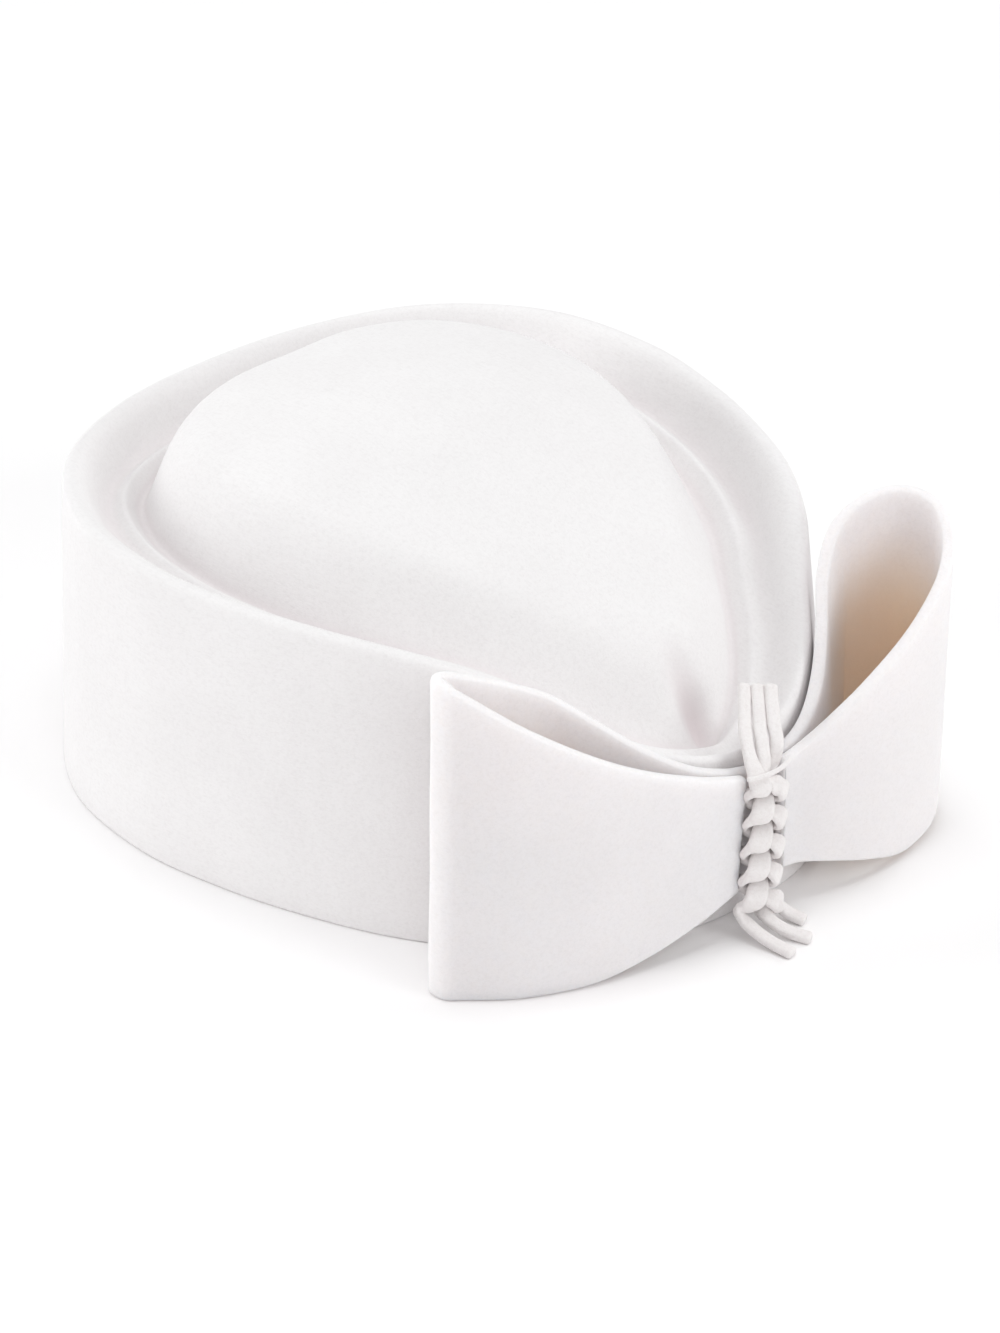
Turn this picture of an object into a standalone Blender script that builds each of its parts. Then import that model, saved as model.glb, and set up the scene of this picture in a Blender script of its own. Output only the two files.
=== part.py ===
"""Felt pillbox hat: a blocked body, two open bow loops and a three-strand braid.

Metres, +Z up, front of the hat towards -Y. Origin at the bottom centre of everything built.
"""
import math

import bpy
import bmesh
import numpy as np

# Driving sizes, metres
HAT_LENGTH = 0.2040
HAT_WIDTH = 0.1752
HAT_HEIGHT = 0.0770
FELT = 0.0030
WALL_LEAN = 0.0050
CHANNEL_INSET = 0.0250
CHANNEL_DROP = 0.0116
CROWN_HEIGHT = 0.0920
CROWN_FALL = 0.0415
SHOULDER_WIDTH = 0.0125
DIMPLE_DEPTH = 0.0035
LOOP_REACH = 0.0780
LOOP_HEIGHT = 0.0820
LOOP_DEPTH = 0.0250
STRAND_WIDTH = 0.0034
STRAND_THICKNESS = 0.0020
BRAID_FAN = 0.0180
BRAID_ASIDE = -0.0025
CLEARANCE = 0.0005

# Sizes that follow from the driving ones
HALF_LENGTH = HAT_LENGTH / 2
HALF_WIDTH = HAT_WIDTH / 2
CROWN_ALONG = 0.15 * HALF_LENGTH
PEAK_ALONG = 0.245 * HALF_LENGTH
DIMPLE_ALONG = -0.735 * HALF_LENGTH
DIMPLE_LONG = 0.070 * HALF_LENGTH
DIMPLE_WIDE = 0.046 * HALF_LENGTH

# How finely the solids are faceted
RAYS = 76
SECTION_RINGS = 18
DOME_RINGS = 12
UNDER_RINGS = 14

# Plan of the base and rim, one row per station from the back to the front.
# along and across are shares of the half length and half width, height of HAT_HEIGHT,
# lean of WALL_LEAN
PLAN = (
    {"along": 1.000, "across": 0.000, "height": 0.972, "lean": 0.64},
    {"along": 0.956, "across": 0.378, "height": 0.979, "lean": 0.62},
    {"along": 0.806, "across": 0.713, "height": 0.993, "lean": 0.60},
    {"along": 0.547, "across": 0.934, "height": 1.000, "lean": 0.58},
    {"along": 0.241, "across": 1.000, "height": 0.991, "lean": 0.58},
    {"along": -0.034, "across": 0.961, "height": 0.977, "lean": 0.64},
    {"along": -0.255, "across": 0.889, "height": 0.965, "lean": 0.80},
    {"along": -0.439, "across": 0.802, "height": 0.948, "lean": 1.02},
    {"along": -0.595, "across": 0.685, "height": 0.905, "lean": 1.18},
    {"along": -0.717, "across": 0.540, "height": 0.818, "lean": 1.18},
    {"along": -0.825, "across": 0.385, "height": 0.699, "lean": 0.79},
    {"along": -0.893, "across": 0.205, "height": 0.592, "lean": 0.39},
    {"along": -0.910, "across": 0.000, "height": 0.549, "lean": 0.10},
)

# Section from the top of the wall to the foot of the dome. inset is a share of
# CHANNEL_INSET, drop a share of CHANNEL_DROP below the rim; the front pair is the
# same fold at the very front, where the channel closes up
SECTION = (
    {"inset": 0.000, "drop": 0.259, "front_inset": 0.000, "front_drop": 0.241},
    {"inset": 0.019, "drop": 0.103, "front_inset": 0.017, "front_drop": 0.095},
    {"inset": 0.054, "drop": 0.026, "front_inset": 0.046, "front_drop": 0.022},
    {"inset": 0.108, "drop": 0.000, "front_inset": 0.085, "front_drop": 0.000},
    {"inset": 0.185, "drop": 0.052, "front_inset": 0.131, "front_drop": 0.034},
    {"inset": 0.269, "drop": 0.224, "front_inset": 0.173, "front_drop": 0.095},
    {"inset": 0.354, "drop": 0.517, "front_inset": 0.208, "front_drop": 0.155},
    {"inset": 0.438, "drop": 0.793, "front_inset": 0.235, "front_drop": 0.198},
    {"inset": 0.538, "drop": 0.966, "front_inset": 0.258, "front_drop": 0.224},
    {"inset": 0.654, "drop": 0.931, "front_inset": 0.277, "front_drop": 0.233},
    {"inset": 0.750, "drop": 0.793, "front_inset": 0.296, "front_drop": 0.224},
    {"inset": 0.827, "drop": 0.733, "front_inset": 0.315, "front_drop": 0.207},
    {"inset": 0.915, "drop": 0.802, "front_inset": 0.335, "front_drop": 0.190},
    {"inset": 1.000, "drop": 0.948, "front_inset": 0.354, "front_drop": 0.172},
    {"inset": 1.077, "drop": 0.776, "front_inset": 0.377, "front_drop": 0.129},
)

# Left loop from the middle, along the wall, round the fold and back to the middle.
# out is a share of LOOP_REACH, ahead of LOOP_DEPTH in front of the hat's front,
# top and low of LOOP_HEIGHT; low_out is out at the lower edge
LEFT_LOOP = (
    {"out": 0.015, "ahead": 0.088, "top": 0.488, "low_out": 0.015, "low": 0.110},
    {"out": 0.128, "ahead": 0.072, "top": 0.512, "low_out": 0.128, "low": 0.104},
    {"out": 0.256, "ahead": -0.012, "top": 0.561, "low_out": 0.256, "low": 0.091},
    {"out": 0.385, "ahead": -0.212, "top": 0.646, "low_out": 0.385, "low": 0.073},
    {"out": 0.500, "ahead": -0.472, "top": 0.744, "low_out": 0.500, "low": 0.049},
    {"out": 0.615, "ahead": -0.692, "top": 0.841, "low_out": 0.616, "low": 0.024},
    {"out": 0.744, "ahead": -0.812, "top": 0.915, "low_out": 0.748, "low": 0.006},
    {"out": 0.872, "ahead": -0.904, "top": 0.976, "low_out": 0.882, "low": 0.000},
    {"out": 0.942, "ahead": -0.984, "top": 1.000, "low_out": 0.961, "low": 0.000},
    {"out": 0.977, "ahead": -0.952, "top": 1.000, "low_out": 1.002, "low": 0.000},
    {"out": 0.974, "ahead": -0.832, "top": 0.994, "low_out": 0.999, "low": 0.000},
    {"out": 0.923, "ahead": -0.632, "top": 0.951, "low_out": 0.942, "low": 0.000},
    {"out": 0.821, "ahead": -0.352, "top": 0.860, "low_out": 0.831, "low": 0.000},
    {"out": 0.641, "ahead": -0.060, "top": 0.738, "low_out": 0.645, "low": 0.006},
    {"out": 0.462, "ahead": 0.088, "top": 0.640, "low_out": 0.463, "low": 0.037},
    {"out": 0.282, "ahead": 0.188, "top": 0.561, "low_out": 0.282, "low": 0.085},
    {"out": 0.175, "ahead": 0.220, "top": 0.524, "low_out": 0.175, "low": 0.118},
    {"out": 0.115, "ahead": 0.224, "top": 0.506, "low_out": 0.115, "low": 0.134},
)

# Right loop, the same columns; it stands rounder and more open
RIGHT_LOOP = (
    {"out": 0.015, "ahead": 0.088, "top": 0.488, "low_out": 0.015, "low": 0.110},
    {"out": 0.154, "ahead": 0.068, "top": 0.518, "low_out": 0.154, "low": 0.104},
    {"out": 0.256, "ahead": -0.032, "top": 0.561, "low_out": 0.256, "low": 0.091},
    {"out": 0.359, "ahead": -0.232, "top": 0.622, "low_out": 0.359, "low": 0.073},
    {"out": 0.436, "ahead": -0.432, "top": 0.720, "low_out": 0.436, "low": 0.055},
    {"out": 0.513, "ahead": -0.652, "top": 0.829, "low_out": 0.511, "low": 0.037},
    {"out": 0.615, "ahead": -0.792, "top": 0.927, "low_out": 0.609, "low": 0.012},
    {"out": 0.731, "ahead": -0.732, "top": 0.988, "low_out": 0.718, "low": 0.021},
    {"out": 0.833, "ahead": -0.532, "top": 1.000, "low_out": 0.809, "low": 0.033},
    {"out": 0.865, "ahead": -0.232, "top": 0.976, "low_out": 0.832, "low": 0.042},
    {"out": 0.821, "ahead": 0.048, "top": 0.927, "low_out": 0.788, "low": 0.045},
    {"out": 0.737, "ahead": 0.248, "top": 0.866, "low_out": 0.713, "low": 0.039},
    {"out": 0.641, "ahead": 0.348, "top": 0.805, "low_out": 0.628, "low": 0.028},
    {"out": 0.513, "ahead": 0.408, "top": 0.732, "low_out": 0.507, "low": 0.024},
    {"out": 0.372, "ahead": 0.408, "top": 0.659, "low_out": 0.370, "low": 0.061},
    {"out": 0.244, "ahead": 0.336, "top": 0.585, "low_out": 0.244, "low": 0.098},
    {"out": 0.130, "ahead": 0.240, "top": 0.518, "low_out": 0.130, "low": 0.128},
    {"out": 0.052, "ahead": 0.224, "top": 0.500, "low_out": 0.052, "low": 0.140},
)

# Strands above the plait, from the cut ends inside the rim to the top edge, as shares
# of BRAID_FAN from the plait's line and the rim's front; side and rear say which way
# the three lie beside each other
STRAND_TOP = (
    {"across": 0.66, "back": 0.84, "rise": 0.56, "side": 0.72, "rear": -0.72},
    {"across": 0.46, "back": 0.62, "rise": 0.40, "side": 0.76, "rear": -0.70},
    {"across": 0.24, "back": 0.38, "rise": 0.27, "side": 0.94, "rear": -0.52},
    {"across": 0.09, "back": 0.15, "rise": 0.15, "side": 1.16, "rear": -0.12},
)

# Strands below the plait, each lane out to its cut end on the floor, shares of BRAID_FAN
STRAND_ENDS = (
    {"lane": -1, "across": -0.25, "ahead": 0.06, "rise": 0.17},
    {"lane": -1, "across": -0.31, "ahead": 0.28, "rise": 0.06},
    {"lane": -1, "across": -0.34, "ahead": 0.62, "rise": 0.00},
    {"lane": -1, "across": -0.37, "ahead": 0.95, "rise": 0.00},
    {"lane": 0, "across": -0.02, "ahead": 0.15, "rise": 0.16},
    {"lane": 0, "across": 0.02, "ahead": 0.38, "rise": 0.06},
    {"lane": 0, "across": 0.05, "ahead": 0.66, "rise": 0.00},
    {"lane": 0, "across": 0.06, "ahead": 0.97, "rise": 0.00},
    {"lane": 1, "across": 0.35, "ahead": -0.02, "rise": 0.18},
    {"lane": 1, "across": 0.37, "ahead": 0.11, "rise": 0.07},
    {"lane": 1, "across": 0.41, "ahead": 0.28, "rise": 0.01},
    {"lane": 1, "across": 0.50, "ahead": 0.46, "rise": 0.00},
)

# Names and colours, one row per object: red, green, blue as seen and the roughness
FINISHES = (
    {"name": "hat_body", "colour": (0.95, 0.94, 0.94), "rough": 0.95},
    {"name": "bow_left_loop", "colour": (0.93, 0.91, 0.91), "rough": 0.95},
    {"name": "bow_right_loop", "colour": (0.93, 0.91, 0.91), "rough": 0.95},
    {"name": "braid_strand_1", "colour": (0.93, 0.89, 0.89), "rough": 0.95},
    {"name": "braid_strand_2", "colour": (0.93, 0.89, 0.89), "rough": 0.95},
    {"name": "braid_strand_3", "colour": (0.93, 0.89, 0.89), "rough": 0.95},
    {"name": "bow_binding_strand", "colour": (0.94, 0.92, 0.91), "rough": 0.95},
)


def column(table, name):
    """One named column of a table as an array."""
    return np.array([row[name] for row in table])


def through(values, steps):
    """Smooth curve through values (rows), sampled at fractional row numbers."""
    values = np.asarray(values, dtype=float)
    last = len(values) - 1
    steps = np.clip(np.asarray(steps, dtype=float), 0.0, last)
    low = np.minimum(steps.astype(int), last - 1)
    part = (steps - low)[:, None]
    before = values[np.maximum(low - 1, 0)]
    here = values[low]
    after = values[low + 1]
    beyond = values[np.minimum(low + 2, last)]
    slope_here = (after - before) / 2
    slope_after = (beyond - here) / 2
    square = part * part
    cube = square * part
    return (
        here * (2 * cube - 3 * square + 1)
        + slope_here * (cube - 2 * square + part)
        + after * (3 * square - 2 * cube)
        + slope_after * (cube - square)
    )


def ease(value, low, high):
    """Goes smoothly from 0 at low to 1 at high."""
    part = np.clip((value - low) / (high - low), 0.0, 1.0)
    return part * part * (3 - 2 * part)


def plan_at(turn):
    """Base point, rim height and lean at a turn of 0 (back) to pi (front) to 2 pi."""
    rows = np.stack([column(PLAN, key) for key in ("across", "along", "height", "lean")], 1)
    mirrored = rows[1:4][::-1] * np.array([-1, 1, 1, 1])
    ahead = rows[-4:-1][::-1] * np.array([-1, 1, 1, 1])
    full = np.concatenate([mirrored, rows, ahead])
    turn = np.mod(np.asarray(turn, dtype=float), 2 * math.pi)
    side = np.where(turn > math.pi, -1.0, 1.0)
    folded = np.where(turn > math.pi, 2 * math.pi - turn, turn)
    value = through(full, 3 + folded / math.pi * (len(rows) - 1))
    across = value[:, 0] * side * HALF_WIDTH
    along = value[:, 1] * HALF_LENGTH
    return across, along, value[:, 2] * HAT_HEIGHT, value[:, 3] * WALL_LEAN


def crown_at(across, along):
    """Height of the crown dome's top: high at the back, falling to the front tip."""
    ahead = (along - PEAK_ALONG) / (DIMPLE_ALONG - PEAK_ALONG)
    fall = np.where(ahead > 0, CROWN_FALL, CROWN_FALL * 0.45) * ahead ** 2
    return CROWN_HEIGHT - fall - CROWN_FALL * 0.37 * (across / HALF_WIDTH) ** 2


class Ray:
    """One radial section of the hat, from the wall towards the crown."""

    def __init__(self, turn):
        across, along, height, lean = plan_at([turn])
        self.base = np.array([across[0], along[0]])
        self.height = height[0]
        self.lean = lean[0]
        inward = np.array([0.0, CROWN_ALONG]) - self.base
        self.reach = np.linalg.norm(inward)
        self.inward = inward / self.reach
        self.reach = self.reach - self.lean
        self.front = float(ease(-self.base[1], 0.30 * HALF_LENGTH, 0.90 * HALF_LENGTH))
        insets = self.blend("inset", "front_inset") * CHANNEL_INSET
        drops = self.blend("drop", "front_drop") * CHANNEL_DROP
        steps = np.linspace(0, len(SECTION) - 1, 141)
        fine = through(np.stack([insets, drops], 1), steps)
        self.fine_inset = np.maximum.accumulate(fine[:, 0])
        self.fine_height = self.height - fine[:, 1]
        self.foot = insets[-1]
        self.foot_height = self.height - drops[-1]
        self.shoulder = min(SHOULDER_WIDTH, 0.8 * (self.reach - self.foot))

    def blend(self, name, front_name):
        """A section column, moved over to its front values near the front."""
        return column(SECTION, name) * (1 - self.front) + column(SECTION, front_name) * self.front

    def point(self, inset, height):
        """Point at an inset from the wall's top and a height."""
        flat = self.base + self.inward * (self.lean + inset)
        return np.array([flat[0], flat[1], height])

    def wall(self, height, inset=0.0):
        """Point on the leaning side wall at a height."""
        share = height / self.fine_height[0]
        flat = self.base + self.inward * (self.lean * share + inset)
        return np.array([flat[0], flat[1], height])

    def top(self, inset):
        """Height of the upper felt surface at an inset, or an array of them."""
        inset = np.asarray(inset, dtype=float)
        folds = np.interp(inset, self.fine_inset, self.fine_height)
        across = self.base[0] + self.inward[0] * (self.lean + inset)
        along = self.base[1] + self.inward[1] * (self.lean + inset)
        share = np.clip((inset - self.foot) / self.shoulder, 0.0, 1.0)
        rise = 1 - (1 - share) ** 2.3
        dome = self.foot_height + (crown_at(across, along) - self.foot_height) * rise
        pit = np.exp(-(across / DIMPLE_WIDE) ** 2 - ((along - DIMPLE_ALONG) / DIMPLE_LONG) ** 2)
        return np.where(inset < self.foot, folds, dome) - DIMPLE_DEPTH * pit

    def under(self, inset):
        """Height of the lower felt surface: one felt thickness inside the upper one."""
        offsets = np.linspace(-0.98, 0.98, 41) * FELT
        near = np.clip(inset + offsets, 0.0, self.reach)
        return float(np.min(self.top(near) - np.sqrt(FELT ** 2 - offsets ** 2)))


def hat_rings():
    """Rings of points over the hat, from the outer base edge to the inner one."""
    steps = np.arange(RAYS) * 2 * math.pi / RAYS
    rays = [Ray(turn) for turn in steps + 0.42 * np.sin(steps)]
    rings = []
    for share in (0.0, 0.25, 0.5, 0.75):
        rings.append([ray.wall(ray.fine_height[0] * share) for ray in rays])
    for step in np.linspace(0, 140, SECTION_RINGS + 1):
        index = int(round(step))
        rings.append([ray.point(ray.fine_inset[index], ray.fine_height[index]) for ray in rays])
    for share in np.linspace(0, 1, DOME_RINGS + 1)[1:-1] ** 1.25:
        ring = []
        for ray in rays:
            inset = ray.foot + (ray.reach - ray.foot) * share
            ring.append(ray.point(inset, float(ray.top(inset))))
        rings.append(ring)
    crown = rays[0]
    peak = [0.0, CROWN_ALONG, float(crown.top(crown.reach))]
    hollow = [0.0, CROWN_ALONG, crown.under(crown.reach)]
    inner = []
    for share in (np.arange(1, UNDER_RINGS + 1) / UNDER_RINGS)[::-1] ** 1.3:
        ring = []
        for ray in rays:
            inset = FELT + (ray.reach - FELT) * (1 - share)
            ring.append(ray.point(inset, ray.under(inset)))
        inner.append(ring)
    inner = inner[::-1]
    for share in (0.66, 0.33, 0.0):
        inner.append([ray.wall(ray.under(FELT) * share, FELT) for ray in rays])
    return rings, peak, hollow, inner


def link(name, mesh_data):
    """Puts a bmesh into the scene as a named object with its own finish."""
    finish = next(row for row in FINISHES if row["name"] == name)
    bmesh.ops.remove_doubles(mesh_data, verts=mesh_data.verts, dist=0.000002)
    bmesh.ops.triangulate(mesh_data, faces=mesh_data.faces)
    bmesh.ops.recalc_face_normals(mesh_data, faces=mesh_data.faces)
    mesh = bpy.data.meshes.new(name)
    mesh_data.to_mesh(mesh)
    mesh_data.free()
    material = bpy.data.materials.new(name + "_felt")
    material.use_nodes = True
    shader = material.node_tree.nodes["Principled BSDF"]
    linear = [value ** 2.2 for value in finish["colour"]]
    shader.inputs["Base Color"].default_value = (linear[0], linear[1], linear[2], 1.0)
    shader.inputs["Roughness"].default_value = finish["rough"]
    mesh.materials.append(material)
    made = bpy.data.objects.new(name, mesh)
    bpy.context.scene.collection.objects.link(made)
    return made


def bridge(mesh_data, first, second):
    """Quads between two rings of vertices of the same length."""
    count = len(first)
    for index in range(count):
        after = (index + 1) % count
        mesh_data.faces.new((first[index], first[after], second[after], second[index]))


def cap(mesh_data, ring, centre):
    """Fan of triangles from a ring to one vertex."""
    count = len(ring)
    for index in range(count):
        mesh_data.faces.new((ring[index], ring[(index + 1) % count], centre))


def make_hat():
    """The blocked body: wall, rim, channel, ridge, dome and the hollow below."""
    rings, peak, hollow, inner = hat_rings()
    mesh_data = bmesh.new()
    upper = [[mesh_data.verts.new(point) for point in ring] for ring in rings]
    lower = [[mesh_data.verts.new(point) for point in ring] for ring in inner]
    for first, second in zip(upper, upper[1:]):
        bridge(mesh_data, first, second)
    cap(mesh_data, upper[-1], mesh_data.verts.new(peak))
    cap(mesh_data, lower[0], mesh_data.verts.new(hollow))
    for first, second in zip(lower, lower[1:]):
        bridge(mesh_data, first, second)
    bridge(mesh_data, lower[-1], upper[0])
    return link("hat_body", mesh_data)


def front_line():
    """The hat's foremost wall position."""
    return plan_at([math.pi])[1][0]


FRONT_RAYS = [Ray(turn) for turn in np.linspace(0.45 * math.pi, math.pi, 90)]


def wall_limit(across, height, margin):
    """Rearmost y that still clears the front half of the wall by a margin."""
    rays = FRONT_RAYS
    points = np.array([ray.wall(min(height, ray.fine_height[0]))[:2] for ray in rays])
    along = np.gradient(points, axis=0)
    outward = np.stack([-along[:, 1], along[:, 0]], 1)
    outward = outward / np.linalg.norm(outward, axis=1)[:, None]
    outward = outward * np.sign(np.sum(outward * points, axis=1))[:, None]
    moved = points + outward * margin
    order = np.argsort(moved[:, 0])
    return float(np.interp(abs(across), moved[order, 0], moved[order, 1], right=1.0))


def loop_path(table, side, columns):
    """Middle line of a loop's felt at its top or bottom edge."""
    rows = np.stack([column(table, key) for key in columns], 1)
    fine = through(rows, np.linspace(0, len(rows) - 1, 3 * len(rows) - 2))
    points = []
    for out, ahead, level in fine:
        across = side * out * LOOP_REACH
        height = max(level, 0.0) * LOOP_HEIGHT
        along = front_line() - ahead * LOOP_DEPTH
        limit = wall_limit(across, height, CLEARANCE + FELT * 0.5)
        points.append([across, min(along, limit), height])
    return np.array(points)


def flat_normals(path):
    """Unit normals of a path, level with the floor."""
    along = np.gradient(path[:, :2], axis=0)
    normal = np.stack([-along[:, 1], along[:, 0], along[:, 0] * 0], 1)
    return normal / np.linalg.norm(normal, axis=1)[:, None]


def make_loop(name, table, side):
    """One felt band folded into an open loop."""
    top = loop_path(table, side, ("out", "ahead", "top"))
    low = loop_path(table, side, ("low_out", "ahead", "low"))
    top_side = flat_normals(top) * FELT / 2
    low_side = flat_normals(low) * FELT / 2
    mesh_data = bmesh.new()
    frames = []
    for index in range(len(top)):
        soft = np.array([0, 0, FELT * 0.25])
        corners = (
            top[index] + top_side[index] - soft,
            top[index] + top_side[index] * 0.4,
            top[index] - top_side[index] * 0.4,
            top[index] - top_side[index] - soft,
            low[index] - low_side[index] + soft,
            low[index] - low_side[index] * 0.4,
            low[index] + low_side[index] * 0.4,
            low[index] + low_side[index] + soft,
        )
        frames.append([mesh_data.verts.new(corner) for corner in corners])
    for first, second in zip(frames, frames[1:]):
        bridge(mesh_data, first, second)
    mesh_data.faces.new(frames[0])
    mesh_data.faces.new(frames[-1][::-1])
    return link(name, mesh_data)


def strand_frames(path, faces):
    """Frames across a strand: a flat strip that faces the given directions."""
    tangents = np.gradient(path, axis=0)
    tangents = tangents / np.linalg.norm(tangents, axis=1)[:, None]
    facing = faces - tangents * np.sum(faces * tangents, axis=1)[:, None]
    facing = facing / np.linalg.norm(facing, axis=1)[:, None]
    return facing, np.cross(tangents, facing)


def make_strip(name, path, faces, width, thickness):
    """A closed strip of felt along a path."""
    facing, across = strand_frames(path, faces)
    mesh_data = bmesh.new()
    frames = []
    for index in range(len(path)):
        ring = []
        for turn in range(8):
            angle = (turn + 0.5) * math.pi / 4
            wide = math.copysign(abs(math.cos(angle)) ** 0.6, math.cos(angle)) * width / 2
            deep = math.copysign(abs(math.sin(angle)) ** 0.6, math.sin(angle)) * thickness / 2
            ring.append(mesh_data.verts.new(path[index] + across[index] * wide + facing[index] * deep))
        frames.append(ring)
    for first, second in zip(frames, frames[1:]):
        bridge(mesh_data, first, second)
    mesh_data.faces.new(frames[0])
    mesh_data.faces.new(frames[-1][::-1])
    return link(name, mesh_data)


def braid_line():
    """Y of the plait's middle: in front of the bow's back panels."""
    return front_line() - CLEARANCE * 3 - FELT - STRAND_THICKNESS * 1.85


def soften(path, start):
    """Evens out the bends of a path from a row on; its end stays where it is."""
    path = path.copy()
    for _ in range(6):
        middle = (path[:-2] + 2 * path[1:-1] + path[2:]) / 4
        path[start:-1] = middle[start - 1:]
    return path


def strand_crest():
    """Level where the strands go over the rim, above the plait and the bow."""
    return max(0.549 * HAT_HEIGHT, 0.482 * LOOP_HEIGHT + STRAND_WIDTH * 0.8)


def plait_turns(length):
    """Turns of the plait over a length, in whole half turns."""
    return max(round(2 * length / (6.5 * STRAND_WIDTH)) / 2, 0.5)


def strand_path(number):
    """Path of one strand: cut end inside the rim, over the edge, plait, fanned end."""
    top = 0.482 * LOOP_HEIGHT
    low = 0.070 * LOOP_HEIGHT
    turns = plait_turns(top - low)
    swing = STRAND_WIDTH * 1.035
    depth = STRAND_THICKNESS * 1.50
    line = braid_line()
    spread = STRAND_WIDTH * 1.15
    crest = strand_crest()
    lane = round(math.sin(2 * math.pi * number / 3) / 0.866)
    points = []
    faces = []
    for row in STRAND_TOP:
        points.append([
            lane * spread * row["side"] + row["across"] * BRAID_FAN,
            line + row["back"] * BRAID_FAN + lane * spread * row["rear"],
            crest + row["rise"] * BRAID_FAN,
        ])
        faces.append([0.0, -0.45, 1.0])
    count = 24
    for step in range(count + 1):
        share = step / count
        phase = 2 * math.pi * (turns * share + number / 3)
        widen = 1 + 0.40 * float(ease(share, 0.886, 1.0))
        across = swing * widen * math.sin(phase)
        deepen = 1 + 0.30 * float(ease(share, 0.93, 1.0))
        along = line - depth * deepen * math.sin(2 * phase)
        points.append([across, along, top + (low - top) * share])
        faces.append([0.0, -1.0, 0.0])
    lane = round(math.sin(2 * math.pi * (turns + number / 3)) / 0.866)
    for row in STRAND_ENDS:
        if row["lane"] == lane:
            rise = STRAND_THICKNESS * 0.55 + row["rise"] * BRAID_FAN
            points.append([row["across"] * BRAID_FAN, line - row["ahead"] * BRAID_FAN, rise])
            faces.append([0.0, -0.45, 1.0])
    points = np.array(points) + np.array([BRAID_ASIDE, 0.0, 0.0])
    steps = np.linspace(0, len(points) - 1, 50)
    plait_end = int(50 * (len(points) - 5.5) / (len(points) - 1))
    return soften(through(points, steps), plait_end), through(faces, steps)


def make_braid():
    """The three strands of the plait."""
    made = []
    for number in range(3):
        path, faces = strand_path(number)
        name = "braid_strand_" + str(number + 1)
        made.append(make_strip(name, path, faces, STRAND_WIDTH, STRAND_THICKNESS))
    return made


def make_binding():
    """The thin strand across the strips at the top of the plait."""
    level = strand_crest() + STRAND_THICKNESS * 0.3
    line = braid_line()
    half = STRAND_WIDTH * 2.1
    shares = np.linspace(-1, 1, 9)
    reach = STRAND_THICKNESS * 0.9
    path = np.array([[BRAID_ASIDE + half * s, line - reach * (1 - s * s) - 0.0010, level] for s in shares])
    faces = np.array([[0.0, -1.0, 0.3]] * len(path))
    return make_strip("bow_binding_strand", path, faces, STRAND_WIDTH * 0.35, STRAND_THICKNESS * 0.4)


def centre_on_floor(objects):
    """Moves everything so that the origin is the bottom centre of the whole."""
    points = np.array([vertex.co[:] for made in objects for vertex in made.data.vertices])
    low = points.min(axis=0)
    high = points.max(axis=0)
    shift = np.array([(low[0] + high[0]) / 2, (low[1] + high[1]) / 2, low[2]])
    for made in objects:
        for vertex in made.data.vertices:
            vertex.co = np.array(vertex.co[:]) - shift
        made.data.update()


def main():
    """Builds every piece and puts the origin at the bottom centre."""
    for old in list(bpy.context.scene.objects):
        bpy.data.objects.remove(old, do_unlink=True)
    objects = [make_hat()]
    objects.append(make_loop("bow_left_loop", LEFT_LOOP, -1))
    objects.append(make_loop("bow_right_loop", RIGHT_LOOP, 1))
    objects.extend(make_braid())
    objects.append(make_binding())
    centre_on_floor(objects)


main()
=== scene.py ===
"""Felt pillbox hat with an open bow and a plaited middle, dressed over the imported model.

Metres, +Z up, front of the hat towards -Y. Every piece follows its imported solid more
finely: the blocked body, the two folded bands of the bow, the strands of the plait.
"""
import logging
import math
from dataclasses import dataclass
from enum import Enum
from typing import NamedTuple

import bmesh
import bpy
import numpy as np
from mathutils import Matrix, Vector, noise


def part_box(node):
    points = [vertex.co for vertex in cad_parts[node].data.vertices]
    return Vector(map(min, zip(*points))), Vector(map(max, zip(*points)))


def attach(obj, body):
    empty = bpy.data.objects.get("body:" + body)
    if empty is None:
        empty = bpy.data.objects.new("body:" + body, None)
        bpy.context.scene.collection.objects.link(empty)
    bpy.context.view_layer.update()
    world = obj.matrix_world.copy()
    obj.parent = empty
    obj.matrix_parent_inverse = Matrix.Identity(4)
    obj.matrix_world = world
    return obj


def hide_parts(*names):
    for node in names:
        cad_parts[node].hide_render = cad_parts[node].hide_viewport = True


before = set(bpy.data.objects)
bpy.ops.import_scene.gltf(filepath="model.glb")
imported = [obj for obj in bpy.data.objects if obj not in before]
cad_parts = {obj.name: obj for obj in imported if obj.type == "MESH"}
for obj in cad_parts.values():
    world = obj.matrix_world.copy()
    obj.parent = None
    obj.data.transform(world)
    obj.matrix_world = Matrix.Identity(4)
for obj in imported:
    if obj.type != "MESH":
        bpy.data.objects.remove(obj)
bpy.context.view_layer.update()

LOG = logging.getLogger("pillbox_hat")

Array, Piece, Socket = np.ndarray, bpy.types.Object, bpy.types.NodeSocket
Triple = tuple[float, float, float]

PAINTED_SHADE_LAYER = "depth"  # where the skins keep the painted shade: how deep in a fold and inside a loop each point lies
FIBRE_TURNS = ((0.5, 0.2, 0.7), (-0.8, 0.9, -0.3), (1.3, -0.6, 0.2))  # radians
MIX_FIRST, MIX_SECOND, MIX_RESULT = 6, 7, 2  # colour sockets of the mix node
WAVE_RISE = 0.010  # height over which the unevenness sets in, metres
EDGE_POWER = 0.7  # below 1 draws a round edge towards a square one
THIRD_SINE = 0.866  # sine of a third of a turn
LYING = (0.0, -0.45, 1.0)  # way that a strand faces where it lies flat
END_SIZE = 0.62  # size of a strip's section at its cut ends
END_ROUND = 0.30  # length of its rounding there, in thicknesses


class PlanRow(NamedTuple):
    """Station of the base plan, from the back of the hat to its front.

    along and across are shares of the half length and half width, height of the hat's
    height, lean of the wall's lean and channel of the channel's inset.
    """

    along: float
    across: float
    height: float
    lean: float
    channel: float


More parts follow.
